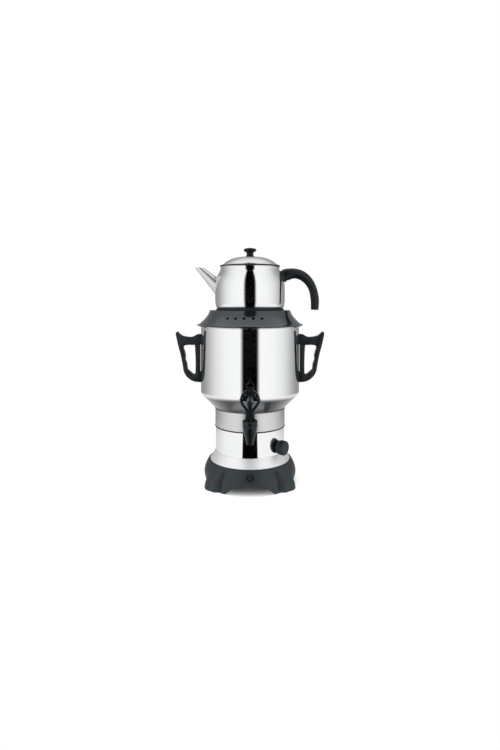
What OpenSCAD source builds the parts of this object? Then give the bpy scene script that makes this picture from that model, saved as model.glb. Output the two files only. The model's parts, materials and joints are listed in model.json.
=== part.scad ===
// Electric tea samovar: a heated water tank with a front tap, a steam collar and a teapot.
// Origin on the tank's axis at the floor, +Z up, tap towards -Y, lengths in millimetres.

/* [Base] */
// Height of the black base at its rim
base_h = 50; // [48:0.5:56]
// Outer radius of the belly between the lobes
belly_r = 93.3; // [92:0.1:98]
// Height of the widest part of the belly
belly_z = 20; // [14:1:24]
// Thickness of the moulded walls
base_wall = 2.5; // [2:0.1:2.8]
// How far the lobed feet stand out of the belly
lobe_out = 6.5; // [2:0.5:8]
// Angle that one lobe spans
lobe_span = 27; // [22:1:30]
// Angle between a lobe's middle and the left-right axis
lobe_mid = 41.5; // [40:0.5:46]
// Width of an arch at the floor
arch_w = 90; // [76:1:94]
// Height of an arch as a share of the base's
arch_share = 0.46; // [0.38:0.01:0.48]
// Height of the rubber pads under the feet
pad_h = 1; // [0.6:0.1:2]
// Radius of a rubber pad
pad_r = 8; // [6:0.5:9]

/* [Polished cylinder] */
// Outer radius of the polished cylinder
sleeve_r = 69.6; // [69:0.2:71]
// Height of the polished cylinder
sleeve_h = 66.8; // [62:0.2:76]
// Outer radius of the flared skirt at its foot
skirt_r = 81.6; // [80:0.2:84]
// Height of the flared skirt
skirt_h = 18.2; // [14:0.2:22]
// Sheet thickness of the cylinder, skirt and neck ring
sheet = 0.8; // [0.5:0.1:1]

/* [Tank] */
// Outer radius of the tank
tank_r = 100; // [95:1:105]
// Height of the tank's straight wall above the crease
tank_h = 137; // [125:1:160]
// Height of the cone under the tank
cone_h = 30; // [26:1:36]
// Rounding of the crease between cone and wall
crease_r = 12; // [8:1:14]
// Wall thickness of the tank
tank_wall = 1; // [0.8:0.1:1.4]
// Outer radius of the satin neck ring
neck_ring_r = 70.8; // [69:0.2:71]
// Height of the satin neck ring
neck_h = 34.5; // [30:0.5:40]
// Height of the black seam ring
seam_h = 2.2; // [1.2:0.1:3]

/* [Tap] */
// Height of the tap's shank above the crease
tap_lift = 9; // [7:0.5:20]
// Distance from the tank wall to the middle of the outlet
tap_reach = 46; // [44:1:60]
// Radius of the shank
shank_r = 5.4; // [5:0.1:6]
// Height of the outlet under the cup
spout_h = 31; // [28:0.5:34]
// Radius of the cup that the lever stands in
cup_r = 13.3; // [13.1:0.1:14.5]
// Height of the cup
cup_h = 11; // [10:0.5:13]
// Outer radius of the lever's ring
lever_ring_r = 17.6; // [16:0.1:20]
// Angle that the lever turns to open the tap
lever_turn = 40; // [30:1:45]

/* [Thermostat] */
// Radius of the rotary knob
knob_r = 14; // [12:0.5:16]
// Length of the rotary knob
knob_l = 16; // [14:0.5:20]
// Height of the knob above the base's deck
knob_lift = 34; // [30:1:38]
// Direction of the knob, from the right towards the front
knob_turn = 39; // [36:1:44]

/* [Power button] */
// Radius of the button
button_r = 6.5; // [6:0.1:7]
// Height of the button as a share of the base's
button_share = 0.72; // [0.71:0.002:0.73]
// How far the button travels
button_travel = 2; // [1:0.1:2.2]

/* [Side handles] */
// How far a side handle reaches out of the tank
grip_out = 51.2; // [46:0.5:60]
// Height of a side handle
grip_h = 102.2; // [94:0.5:108]
// Height of a side handle's foot above the crease
grip_lift = 21; // [18:0.5:26]
// Thickness of a side handle
grip_t = 20; // [16:0.5:24]

/* [Steam collar] */
// How far the collar's lip stands out of the tank
lip_over = 8; // [6:0.5:12]
// Radius of the collar's top edge as a share of the lip's
top_share = 0.764; // [0.73:0.002:0.8]
// Height of the collar
collar_h = 30; // [26:0.5:36]
// Wall of the collar
collar_wall = 2.2; // [1.8:0.1:2.6]
// Radius of the steam opening in the collar
throat_r = 52; // [40:1:54]
// Outer radius of the ring that the teapot stands on
seat_r = 69.5; // [66:0.5:74]
// Height of that ring
seat_h = 3; // [2:0.5:5]
// Number of steam vents
vents = 5; // [3:1:7]
// Radius of a steam vent
vent_r = 2.75; // [2:0.05:3]

/* [Teapot] */
// Largest radius of the teapot
pot_r = 71.2; // [66:0.1:74]
// Height of the teapot without its lid
pot_h = 87; // [80:0.5:96]
// Wall thickness of the teapot
pot_wall = 0.9; // [0.7:0.1:1.2]
// Reach of the spout's tip from the axis
tip_reach = 105.7; // [102:0.5:110]
// Reach of the teapot's handle from the mouth
hook_out = 82; // [78:0.5:92]
// Height of the teapot's handle
hook_h = 86.5; // [80:0.5:92]

/* [Lid] */
// How far the lid's rim stands over the teapot's mouth
lid_over = 0.4; // [0.2:0.1:2]
// Height of the lid's dome
dome_h = 17; // [12:0.5:20]
// Height of the lid's knob
lid_knob_h = 18; // [15:0.5:22]
// Radius of the lid's knob
lid_knob_r = 13.25; // [12:0.25:16]

/* [Hidden] */

$fn = 96;
// Faces of a big circle that thin pieces follow, and of a small ball
fine = 720;
ball_faces = 40;

// Colours
black_plastic = [0.16, 0.17, 0.18];
black_gloss = [0.2, 0.21, 0.23];
polished = [0.86, 0.87, 0.88];
satin = [0.7, 0.71, 0.72];
zinc = [0.62, 0.63, 0.65];
rubber = [0.12, 0.12, 0.12];
cream = [0.85, 0.83, 0.76];
lead_colour = [0.75, 0.3, 0.2];

// Overrun of every cut
over = 1;
// Gap between parts that are fitted together and stay
fit_gap = 0.1;
// Gap between a bore and the pin that turns in it
run_gap = 0.05;
// Gap between a part that lifts off and its seat
rest_gap = 0.1;
// Gap between faces that move past each other
clear_gap = 0.35;

// Base: rim, deck and inner ring
rim_step = 3;
rim_wall = 1.8;
rim_gap = 0.4;
deck_t = 3;
deck_hole_r = 22;
foot_step = 1.5;
rim_in_r = skirt_r + rim_gap;
rim_r = rim_in_r + rim_wall;
deck_z = base_h - rim_step;
deck_under = deck_z - deck_t;
foot_in_r = sleeve_r + foot_step;
belly_steps = 10;

// Base: lobes grow from nothing under the rim
lobe_top_share = 0.84;
lobe_rise_share = 0.52;
lobe_top = lobe_top_share * base_h;
lobe_rise = lobe_rise_share * base_h;

// Base: arches are cut by two long cylinders
arch_h = arch_share * base_h;
arch_r = (pow(arch_w / 2, 2) + pow(arch_h, 2)) / (2 * arch_h);

// Base: pads, cover, bosses and screws
pad_ring_r = (foot_in_r + belly_r) / 2;
plug_r = 3;
plug_tail = 1.5;
cover_lift = 0.5;
cover_t = 2;
cover_gap = 0.4;
cover_z = arch_h + base_wall + cover_lift;
boss_r = 4.5;
boss_ring_r = foot_in_r - 2 * boss_r - foot_step * 2;
screw_r = 1.5;
screw_head_r = 3.4;
screw_head_h = 2;
screw_l = 12;

// Power button, its spring and its switch
button_z = button_share * base_h;
button_proud = 0.6;
button_gap = 0.3;
button_flange = 0.9;
button_flange_t = 1;
button_stem_r = 2;
button_stem_in = 0.9;
switch_gap = 0.5;
switch_w = 2 * (deck_under - button_z - switch_gap);
button_wire_r = 0.25;
button_coil_r = 3.4;
button_turns = 2.5;
button_solid_l = 2 * button_wire_r * (button_turns + 1);
flange_y = belly(button_z + button_r + button_flange) - base_wall - clear_gap;
flange_back_y = flange_y - button_flange_t;
switch_front_y = flange_back_y - button_travel - button_solid_l;
switch_back_y = foot_in_r + base_wall + switch_gap;

// Cord gland at the rear
gland_share = 0.68;
gland_z = gland_share * base_h;
gland_bore_r = 3.6;
gland_r = 7;
gland_flange_r = 9.5;
gland_flange_t = 2.4;
gland_ridge_t = 2;
gland_ridge_r = 8;
gland_seat_y = belly_r + fit_gap;
gland_in_y = belly(gland_z + gland_ridge_r) - base_wall - clear_gap;
window_r = 5;

// Terminal block on the deck
block_w = 32;
block_d = 14;
block_h = 12;
block_y = 38;
block_step = 7;
block_hole_r = 2;

// Skirt outline bends a little inwards
skirt_curve = 1.25;
skirt_steps = 8;
skirt_top_r = sleeve_r + fit_gap + sheet;

// Seam, neck ring and tank levels
seam_recess = 0.2;
seam_w = 6.2;
seam_z = deck_z + sleeve_h;
seam_out_r = sleeve_r - seam_recess;
tank_z = seam_z + seam_h;
neck_top = tank_z + neck_h;
neck_bead = 0.8;
neck_bead_h = 1.2;
neck_gap = 0.2;
neck_r = neck_ring_r - sheet - neck_gap;
cone_lift = 0.5;
cone_z = neck_top + cone_lift;
crease_z = cone_z + cone_h;
tank_top = crease_z + tank_h;
cone_angle = atan2(tank_r - neck_r, cone_h);
crease_mid_z = crease_z + crease_r * tan(cone_angle / 2);
crease_steps = 6;
ledge_w = 8;
rim_bead_r = 1.6;

// Tank floor, tie rods and nuts
floor_t = 1.5;
floor_z = tank_z + tank_wall;
floor_r = neck_r - tank_wall - fit_gap;
rod_r = 2.5;
rod_ring_r = 54;
rod_angles = [30, 150, 270];
rod_tail = 3;
nut_h = 4;
nut_r = 4.6;

// Heating element: a bent tube with two legs through the floor
heater_r = 38;
heater_tube_r = 4.2;
heater_lift = 20;
heater_half_gap = 18;
heater_ball = 0.5;
heater_z = floor_z + floor_t + heater_lift;
bush_r = 6;
bush_tail = 9;
shoulder_r = 9;
shoulder_h = 3;
seal_h = 1.5;
pin_r = 1.5;
pin_l = 7;
bush_nut_h = 4.5;
bush_nut_r = 9.5;
bush_end_z = floor_z - bush_tail;
pin_end_z = bush_end_z - pin_l;

// Thermal cut-out under the floor
cutout_r = 12;
cutout_h = 9;
tab_w = 4;
tab_l = 5;
tab_t = 1;
tab_z = floor_z - cutout_h / 2;
clip_w = 8;
clip_t = 1;

// Thermostat behind the cylinder wall
knob_z = deck_z + knob_lift;
thermo_w = 32;
thermo_d = 22;
thermo_h = 34;
thermo_gap = 5.7;
wall_sag = 0.5;
bush_wall_r = 5;
collar_wall_r = 8;
shaft_r = 3;
shaft_in = 8;
thermo_nut_r = 8;
thermo_nut_t = 2.5;
bush_out = 4.5;
knob_back = 3;
knob_skirt = 4;
knob_face = 3;
flute_r = 1.6;
flutes = 16;
sleeve_in_r = sleeve_r - sheet;
thermo_face = sleeve_in_r - thermo_gap;
nut_seat = sleeve_r + fit_gap;
knob_start = sleeve_r + knob_back;

// Inner leads
lead_r = 1.1;
lead_sides = 8;
lead_steps = 8;
lead_step = 5;
lead_bend = 24;
lead_drop_share = 0.7;
lead_gap = 0.4;
lead_across_shares = [1, 0.05, 0.1];

// Side handles, as shares of their reach and height
grip_top_shares = [[1, 0.958], [0.98, 0.99], [0.947, 1], [0.9, 0.97], [0.748, 0.916], [0.5, 0.892],
    [0.336, 0.9], [0.168, 0.946], [0, 0.95]];
grip_edge_shares = [[0.004, 0], [0.283, 0.016], [0.5, 0.081], [0.615, 0.15], [0.684, 0.224],
    [0.723, 0.347], [0.807, 0.556], [0.916, 0.762], [1, 0.958]];
grip_hole_shares = [[0.715, 0.688], [0.615, 0.734], [0.299, 0.738], [0.229, 0.688], [0.211, 0.2],
    [0.32, 0.148], [0.451, 0.2], [0.551, 0.248], [0.574, 0.347], [0.639, 0.448], [0.631, 0.522],
    [0.682, 0.621]];
grip_steps = 3;
grip_z = crease_z + grip_lift;
grip_relief = 2.2;
grip_pad_share = 0.2;
grip_foot_share = grip_top_shares[len(grip_top_shares) - 1][1];
grip_screw_shares = [0.09, 0.86];
grip_screw_r = 2;
grip_screw_l = 13;
grip_head_r = 4;
grip_head_t = 2.5;
washer_r = 5.5;
washer_t = 1.2;
head_x = tank_r - tank_wall - washer_t;

// Tap levels and places, measured out from the axis
passage_back = 9;
neck_drop = 33;
tap_z = crease_z + tap_lift;
barrel_y = tank_r + tap_reach;
passage_y = barrel_y - passage_back;
cup_top = tap_z - neck_drop;
barrel_z = cup_top - cup_h;
spout_z = barrel_z - spout_h;

// Tap shank, elbow and neck
shank_in = 15;
flange_r = 10.25;
flange_t = 5;
gasket_gap = 1.2;
shank_bore_r = 3;
elbow_r = 5.5;
elbow_drop = 2.2;
shank_fall = 4.8;
neck_tube_r = 4.2;
passage_r = 2.3;
bend_y = tank_r + gasket_gap + flange_t / 2;
bend_l = norm([passage_y - bend_y, shank_fall]);
bend_angle = atan(shank_fall / (passage_y - bend_y));
elbow_z = tap_z - shank_fall;
tap_nut_r = 11.5;
tap_nut_t = 5;
inner_seal_t = 2.4;

// Cup on top of the barrel and its floor
recess_r = 11.8;
recess_h = 2.5;
cup_floor_t = 2;
cup_floor = cup_top - recess_h;
notch_w = 5.3;
notch_h = 4.4;
notch_deep = 0.9;
notch_drop = 2.4;

// Outlet: its plug in the barrel, chamber and bore, and its outline in shares of height and radius
plug_r_in = 11.3;
plug_up = 4;
plug_top = barrel_z + plug_up;
chamber_r = 9.4;
outlet_r = 4.2;
spout_step = 0.3;
spout_body_r = cup_r - spout_step;
spout_shares = [[0.48, 0], [0.525, 0.1], [0.635, 0.3], [0.745, 0.5], [0.885, 0.7], [0.96, 0.86], [0.98, 1]];
groove_w = 2.9;
groove_foot = 5;
groove_deep = 1.2;

// Plunger, seal and spring: a lift of half the bore's radius opens it fully
disc_r = 7.2;
disc_t = 2;
seal_r = 7;
seal_t = 2.5;
nipple_r = 2;
stem_r = 1.4;
eye_r = 2.5;
eye_w = 3.2;
spring_coil_r = 4.6;
spring_wire_r = 0.3;
spring_turns = 3;
spring_spare = 0.4;
valve_lift = outlet_r / 2;
spring_solid_l = 2 * spring_wire_r * (spring_turns + 1);
spring_room = valve_lift + spring_solid_l + spring_spare;
ceiling_z = cup_floor - cup_floor_t;
seat_z = ceiling_z - spring_room - disc_t - seal_t - rest_gap;
disc_z = seat_z + rest_gap + seal_t;

// Lever: a saddle over the plunger's eye whose heels roll on the cup's floor
saddle_r = 8;
saddle_neck_r = 6.5;
saddle_up = 11.5;
saddle_back = 3.9;
saddle_tip = 2;
heel_steps = 8;
heel_back = 1.5;
heel_rise = 3;
slot_r = 3.75;
slot_up = 0.8;
pivot_up = 7;
lever_pin_r = 1.25;
lever_pin_l = 14.4;
lever_t = 4;
lever_ring_w = 4.2;
lever_ring_up = 32;
lever_neck_up = 18;
tab_top_w = 9.6;
tab_stem_w = 4.6;
tab_top_h = 4.2;
tab_top_t = 2;
pivot_z = cup_floor + pivot_up;
heel_low = pivot_up - rest_gap;
lift_rate = valve_lift / (lever_turn * PI / 180);

// Steam collar, lifted off the tank's rim by a small gap
collar_z = tank_top + rest_gap;
collar_top = collar_z + collar_h;
lip_t = 1.4;
lip_w = 3.2;
lip_r = tank_r + lip_over;
flare_r = lip_r - lip_w;
top_r = top_share * lip_r;
flare_curve = 1.6;
flare_steps = 10;
sink_h = 9;
sink_gap = 0.4;
sink_t = 2;
sink_mid_r = tank_r - tank_wall - sink_gap - sink_t / 2;
sink_top_share = 1 - pow((sink_mid_r - top_r) / (flare_r - top_r), 1 / flare_curve);
vent_share = 0.5;
vent_pitch = 10.7;
vent_centre = 6.9;
vent_tilt = 42;
seat_w = 13.5;

// Teapot outline, as shares of its largest radius and its height
pot_shares = [[0.935, 0], [0.965, 0.035], [0.984, 0.09], [0.998, 0.165], [1, 0.25], [1, 0.5],
    [0.99, 0.61], [0.969, 0.69], [0.94, 0.76], [0.9, 0.83], [0.862, 0.89], [0.836, 0.974]];
pot_steps = 3;
pot_z = collar_top + seat_h + rest_gap;
pot_floor_t = 1.2;
pot_bead_r = 1.3;
pot_top = pot_z + pot_h;
mouth_r = pot_r * pot_shares[len(pot_shares) - 1][0];
pot_profile = spline([for (s = pot_shares) [s[0] * pot_r, pot_z + s[1] * pot_h]], pot_steps);

// Spout: a cone whose axis rises from the body to the tip
spout_angle = 43.7;
spout_tip_r = 5.9;
spout_taper = 0.157;
spout_wall = 0.9;
spout_l = 62;
tip_share = 0.966;
tip_z = pot_z + tip_share * pot_h;
strainer_r = 1.6;
strainer_pitch = 5;
strainer_share = 0.53;
strainer_z = pot_z + strainer_share * pot_h;

// Teapot handle: middle line and half widths as shares of its reach and height
hook_shares = [[0.0, 0.8], [0.15, 0.845], [0.38, 0.882], [0.585, 0.825], [0.74, 0.693],
    [0.845, 0.508], [0.895, 0.265], [0.892, 0.02]];
hook_half_shares = [0.11, 0.142, 0.12, 0.114, 0.106, 0.098, 0.1, 0.09];
hook_steps = 4;
hook_sides = 16;
hook_t = 8.5;
hook_x = mouth_r;
hook_drop = 4;
hook_z = pot_z - hook_drop;
guard_t = 4.5;
guard_half = 11;
guard_w = 19;
bolt_share = 0.81;
bolt_z = hook_z + bolt_share * hook_h;
bolt_r = 2;
bolt_head_r = 4;
bolt_head_t = 2;
bolt_l = 22;
bolt_x = lookup(bolt_z + bolt_head_r, [for (p = pot_profile) [p[1], p[0]]]) - pot_wall - clear_gap;

// Lid
lid_t = 0.8;
lid_r = mouth_r + lid_over;
lid_rim_h = 2;
lid_z = pot_top + rest_gap;
dome_in = 4.2;
dome_r = lid_r - dome_in;
dome_steps = 2;
dome_shares = [[1, 0], [0.985, 0.1], [0.95, 0.2], [0.895, 0.36], [0.785, 0.58], [0.63, 0.8], [0.42, 0.95]];
lid_skirt_h = 8;
lid_skirt_gap = 0.9;
lid_skirt_r = mouth_r - pot_wall - lid_skirt_gap;
lid_top = lid_z + lid_rim_h + dome_h;
lid_knob_shares = [[0.64, 0], [0.6, 0.08], [0.52, 0.33], [0.56, 0.5], [0.85, 0.62], [1, 0.72],
    [1, 0.82], [0.86, 0.94], [0.5, 1]];
flat_over = 0.5;
flat_r = lid_knob_shares[0][0] * lid_knob_r + flat_over;
lid_screw_r = 2;
lid_screw_l = 11;
lid_screw_head_r = 4;
lid_screw_head_t = 2;

// Radius of the base's belly at a height
function belly(z) = belly_r - (belly_r - rim_r) * pow((z - belly_z) / (base_h - belly_z), 2);

// Radius of a lobe at a height
function lobe(z) = belly(max(z, belly_z)) + lobe_out * min(1, max(0, (lobe_top - z) / lobe_rise));

// Heights in even steps
function levels(low, high, steps) = [for (i = [0:steps]) low + (high - low) * i / steps];

// A list the other way round
function backwards(list) = [for (i = [len(list) - 1:-1:0]) list[i]];

// One item of a list, held at its ends
function held(list, i) = list[min(len(list) - 1, max(0, i))];

// Point on the smooth curve through four neighbours
function between(a, b, c, d, t) =
    (2 * b + (c - a) * t + (2 * a - 5 * b + 4 * c - d) * t * t + (3 * b - a - 3 * c + d) * t * t * t) / 2;

// Smooth open curve through points
function spline(p, steps) = concat(
    [for (i = [0:len(p) - 2], k = [0:steps - 1])
        between(held(p, i - 1), p[i], p[i + 1], held(p, i + 2), k / steps)],
    [p[len(p) - 1]]);

// Smooth closed curve through points
function loop_spline(p, steps) = let (n = len(p))
    [for (i = [0:n - 1], k = [0:steps - 1])
        between(p[(i + n - 1) % n], p[i], p[(i + 1) % n], p[(i + 2) % n], k / steps)];

// Point of a cubic curve with four controls
function bezier(p, t) = pow(1 - t, 3) * p[0] + 3 * t * pow(1 - t, 2) * p[1]
    + 3 * t * t * (1 - t) * p[2] + pow(t, 3) * p[3];

function unit(v) = v / norm(v);

// Direction of a path at one of its points
function heading(path, i) = unit(held(path, i + 1) - held(path, i - 1));

// Ring of points round a path's point, square to it
function ring(path, i, across, r, sides) = let (
    t = heading(path, i),
    u = unit(cross(t, across)),
    v = cross(t, u))
    [for (k = [0:sides - 1]) path[i] + r * (cos(360 * k / sides) * u + sin(360 * k / sides) * v)];

// Solid between rings of points
module skin(rings) {
    n = len(rings[0]);
    m = len(rings);
    sides = [for (i = [0:m - 2], k = [0:n - 1]) let (a = i * n + k, b = i * n + (k + 1) % n)
        each [[a, a + n, b], [b, a + n, b + n]]];
    caps = [[for (k = [0:n - 1]) k], [for (k = [n - 1:-1:0]) (m - 1) * n + k]];
    polyhedron(points = [for (r = rings) each r], faces = concat(sides, caps), convexity = 6);
}

// Round wire along a path
module wire(path, r, across, sides)
    skin([for (i = [0:len(path) - 1]) ring(path, i, across, r, sides)]);

// Helix along Z from z = 0
function helix(coil_r, height, turns, per_turn) =
    [for (i = [0:turns * per_turn]) let (a = 360 * i / per_turn)
        [coil_r * cos(a), coil_r * sin(a), height * i / (turns * per_turn)]];

// Ring between two radii
module tube(out_r, in_r, h)
    difference() {
        cylinder(h = h, r = out_r);
        translate([0, 0, -over]) cylinder(h = h + 2 * over, r = in_r);
    }

// Turned solid under an outline of radius and height
module turned(outline) {
    low = outline[0];
    high = outline[len(outline) - 1];
    rotate_extrude() polygon(concat([[0, low[1]]], outline, [[0, high[1]]]));
}

// Four places at equal angles
module at_quarters(r)
    for (a = [45:90:315]) rotate(a) translate([r, 0, 0]) children();

// Places of the tie rods
module at_rods()
    for (a = rod_angles) rotate(a) translate([rod_ring_r, 0, 0]) children();

// Places of the heating element's legs, at the rear
module at_legs()
    for (a = [90 - heater_half_gap, 90 + heater_half_gap])
        rotate(a) translate([heater_r, 0, 0]) children();

// Frame of the thermostat: X points out through the knob
module at_knob()
    rotate(-knob_turn) translate([0, 0, knob_z]) children();

// Cylinder along X from one distance to another
module rod_x(from, to, r)
    translate([from, 0, 0]) rotate([0, 90, 0]) cylinder(h = to - from, r = r);

// Cylinder towards the front from one distance to another
module rod_front(from, to, r)
    translate([0, -from, 0]) rotate([90, 0, 0]) cylinder(h = to - from, r = r);

module arches(grow)
    for (a = [0, 90]) rotate(a) translate([0, 0, arch_h - arch_r]) rotate([90, 0, 0])
        cylinder(h = 2 * (belly_r + lobe_out + over), r = arch_r + grow, center = true);

// Section of the foot ring with rim and deck
module base_section()
    polygon(concat(
        [[foot_in_r, pad_h]],
        [for (z = levels(pad_h, base_h, belly_steps)) [belly(z), z]],
        [[rim_in_r, base_h], [rim_in_r, deck_z], [deck_hole_r, deck_z],
            [deck_hole_r, deck_under], [foot_in_r, deck_under]]));

// Section of the hollow inside the foot ring
module hollow_section()
    polygon(concat(
        [[foot_in_r + base_wall, pad_h + base_wall]],
        [for (z = levels(pad_h + base_wall, deck_under, belly_steps)) [belly(z) - base_wall, z]],
        [[foot_in_r + base_wall, deck_under]]));

module lobe_section()
    polygon(concat(
        [[belly(pad_h) - base_wall, pad_h]],
        [for (z = levels(pad_h, lobe_top, belly_steps)) [lobe(z), z]],
        [[belly(lobe_top) - base_wall, lobe_top]]));

module base_shell()
    color(black_plastic) difference() {
        union() {
            rotate_extrude() base_section();
            for (side = [0, 180], turn = [-lobe_mid, lobe_mid])
                rotate(side + turn - lobe_span / 2) rotate_extrude(angle = lobe_span) lobe_section();
            at_quarters(boss_ring_r) translate([0, 0, cover_z + cover_t])
                cylinder(h = deck_under - cover_z - cover_t + deck_t / 2, r = boss_r);
        }
        arches(0);
        difference() {
            rotate_extrude() hollow_section();
            arches(base_wall);
        }
        at_quarters(pad_ring_r) cylinder(h = pad_h + base_wall + over, r = plug_r + fit_gap);
        at_quarters(boss_ring_r) translate([0, 0, cover_z])
            cylinder(h = screw_l, r = screw_r + fit_gap);
        at_rods() translate([0, 0, deck_under - over])
            cylinder(h = deck_t + 2 * over, r = rod_r + fit_gap);
        translate([0, 0, button_z]) {
            rod_front(foot_in_r + base_wall + over, belly_r + over, button_r + button_gap);
            rod_front(foot_in_r - over, foot_in_r + base_wall + over, window_r);
        }
        translate([0, 0, gland_z]) rotate(180) {
            rod_front(gland_in_y - over, belly_r + over, gland_r + fit_gap);
            rod_front(foot_in_r - over, foot_in_r + base_wall + over, window_r);
        }
    }

module bottom_cover()
    color(black_plastic) difference() {
        translate([0, 0, cover_z]) cylinder(h = cover_t, r = foot_in_r - cover_gap);
        at_quarters(boss_ring_r) translate([0, 0, cover_z - over])
            cylinder(h = cover_t + 2 * over, r = screw_r + 2 * fit_gap);
    }

module cover_screws()
    color(zinc) at_quarters(boss_ring_r) translate([0, 0, cover_z - screw_head_h]) {
        cylinder(h = screw_head_h, r = screw_head_r);
        cylinder(h = screw_l, r = screw_r);
    }

module rubber_feet()
    color(rubber) at_quarters(pad_ring_r) {
        cylinder(h = pad_h, r = pad_r);
        cylinder(h = pad_h + base_wall + plug_tail, r = plug_r);
    }

// Button cap follows the belly's outline, with a flange behind the wall
module power_button()
    color(black_gloss) translate([0, 0, button_z]) {
        intersection() {
            rod_front(flange_y, belly_r + 2 * over, button_r);
            translate([0, 0, -button_z]) turned([for (z = levels(pad_h, base_h, belly_steps))
                [belly(z) + button_proud, z]]);
        }
        rod_front(flange_back_y, flange_y, button_r + button_flange);
        rod_front(switch_front_y - button_stem_in, flange_back_y, button_stem_r);
    }

module button_spring()
    color(zinc) translate([0, -switch_front_y - button_wire_r, button_z]) rotate([90, 0, 0])
        wire(helix(button_coil_r, flange_back_y - switch_front_y - 2 * button_wire_r,
            button_turns, 12), button_wire_r, [0, 0, 1], 6);

module power_switch()
    color(black_plastic) translate([0, 0, button_z]) difference() {
        translate([-switch_w / 2, -switch_front_y, -switch_w / 2])
            cube([switch_w, switch_front_y - switch_back_y, switch_w]);
        rod_front(switch_back_y + button_flange_t, switch_front_y + over, button_stem_r + clear_gap);
    }

module cord_gland()
    color(rubber) translate([0, 0, gland_z]) rotate(180) difference() {
        union() {
            rod_front(gland_in_y - gland_ridge_t, gland_seat_y + gland_flange_t, gland_r);
            rod_front(gland_in_y - gland_ridge_t, gland_in_y, gland_ridge_r);
            rod_front(gland_seat_y, gland_seat_y + gland_flange_t, gland_flange_r);
        }
        rod_front(gland_in_y - gland_ridge_t - over, gland_seat_y + gland_flange_t + over,
            gland_bore_r);
    }

module terminal_block()
    color(cream) translate([-block_w / 2, block_y, deck_z]) difference() {
        cube([block_w, block_d, block_h]);
        for (x = [block_step / 2:block_step:block_w - block_step / 2])
            translate([x + block_step / 4, block_d / 2, block_h / 2])
                cylinder(h = block_h, r = block_hole_r);
    }

// Radius of the flared skirt at a share of its height
function skirt_at(t) = skirt_top_r + (skirt_r - skirt_top_r) * pow(1 - t, skirt_curve);

module base_skirt()
    color(polished) rotate_extrude() polygon(concat(
        [for (t = levels(0, 1, skirt_steps)) [skirt_at(t), deck_z + t * skirt_h]],
        [for (t = levels(1, 0, skirt_steps)) [skirt_at(t) - sheet, deck_z + t * skirt_h]]));

module base_sleeve()
    color(polished) difference() {
        translate([0, 0, deck_z]) tube(sleeve_r, sleeve_in_r, sleeve_h);
        at_knob() rod_x(sleeve_in_r - over, sleeve_r + over, bush_wall_r + fit_gap);
    }

module seam_gasket()
    color(rubber) translate([0, 0, seam_z]) tube(seam_out_r, seam_out_r - seam_w, seam_h);

module tie_rods()
    color(zinc) at_rods() translate([0, 0, deck_under - nut_h - rod_tail])
        cylinder(h = floor_z - deck_under + nut_h + rod_tail, r = rod_r);

module tie_nuts()
    color(zinc) at_rods() translate([0, 0, deck_under - nut_h]) difference() {
        cylinder(h = nut_h, r = nut_r, $fn = 6);
        translate([0, 0, -over]) cylinder(h = nut_h + 2 * over, r = rod_r + run_gap);
    }

// Thermostat: a box with a shoulder and a bush that passes the cylinder wall
module thermostat_body()
    color(cream) at_knob() difference() {
        union() {
            translate([thermo_face - thermo_d, -thermo_w / 2, -thermo_h / 2])
                cube([thermo_d, thermo_w, thermo_h]);
            rod_x(thermo_face, sleeve_in_r - wall_sag, collar_wall_r);
            rod_x(thermo_face, nut_seat + bush_out, bush_wall_r);
        }
        rod_x(thermo_face - shaft_in, nut_seat + bush_out + over, shaft_r + run_gap);
    }

module thermostat_nut()
    color(zinc) at_knob() difference() {
        translate([nut_seat, 0, 0]) rotate([0, 90, 0])
            cylinder(h = thermo_nut_t, r = thermo_nut_r, $fn = 6);
        rod_x(nut_seat - over, nut_seat + thermo_nut_t + over, bush_wall_r + run_gap);
    }

module thermostat_shaft()
    color(zinc) at_knob()
        rod_x(thermo_face - shaft_in + fit_gap, knob_start + knob_l - knob_face - fit_gap, shaft_r);

module thermostat_knob()
    color(black_plastic) at_knob() difference() {
        rod_x(knob_start, knob_start + knob_l, knob_r);
        rod_x(knob_start - over, knob_start + knob_skirt, thermo_nut_r + 2 * clear_gap);
        rod_x(knob_start, knob_start + knob_l - knob_face, shaft_r + run_gap);
        for (k = [0:flutes - 1])
            rotate([360 * k / flutes, 0, 0]) translate([0, 0, knob_r + flute_r / 2])
                rod_x(knob_start + knob_skirt, knob_start + knob_l + over, flute_r);
    }

module thermal_cutout()
    color(black_plastic) {
        translate([0, 0, floor_z - cutout_h]) cylinder(h = cutout_h, r = cutout_r);
        translate([-tab_w / 2, -cutout_r - tab_l, tab_z - tab_t / 2])
            cube([tab_w, 2 * (cutout_r + tab_l), tab_t]);
    }

// Strap under the cut-out with two legs up to the floor
module cutout_clip()
    color(zinc) translate([0, 0, floor_z - cutout_h - clip_t]) {
        translate([-cutout_r - fit_gap - clip_t, -clip_w / 2, 0])
            cube([2 * (cutout_r + fit_gap + clip_t), clip_w, clip_t]);
        for (side = [0, 180]) rotate(side) translate([cutout_r + fit_gap, -clip_w / 2, 0])
            cube([clip_t, clip_w, cutout_h + clip_t]);
    }

// Places where the leads end
thermo_mid = thermo_face - thermo_d / 2;
thermo_x = thermo_mid * cos(knob_turn);
thermo_y = -thermo_mid * sin(knob_turn);
leg_x = heater_r * sin(heater_half_gap);
leg_y = heater_r * cos(heater_half_gap);
tab_y = cutout_r + tab_l;
low_z = (cover_z + cover_t + deck_under) / 2;

// Straight run between two ends, in steps
function run(a, b, steps) = [for (k = [1:steps]) a + (b - a) * k / steps];
function bend(p) = [for (k = [0:lead_steps]) bezier(p, k / lead_steps)];

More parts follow.
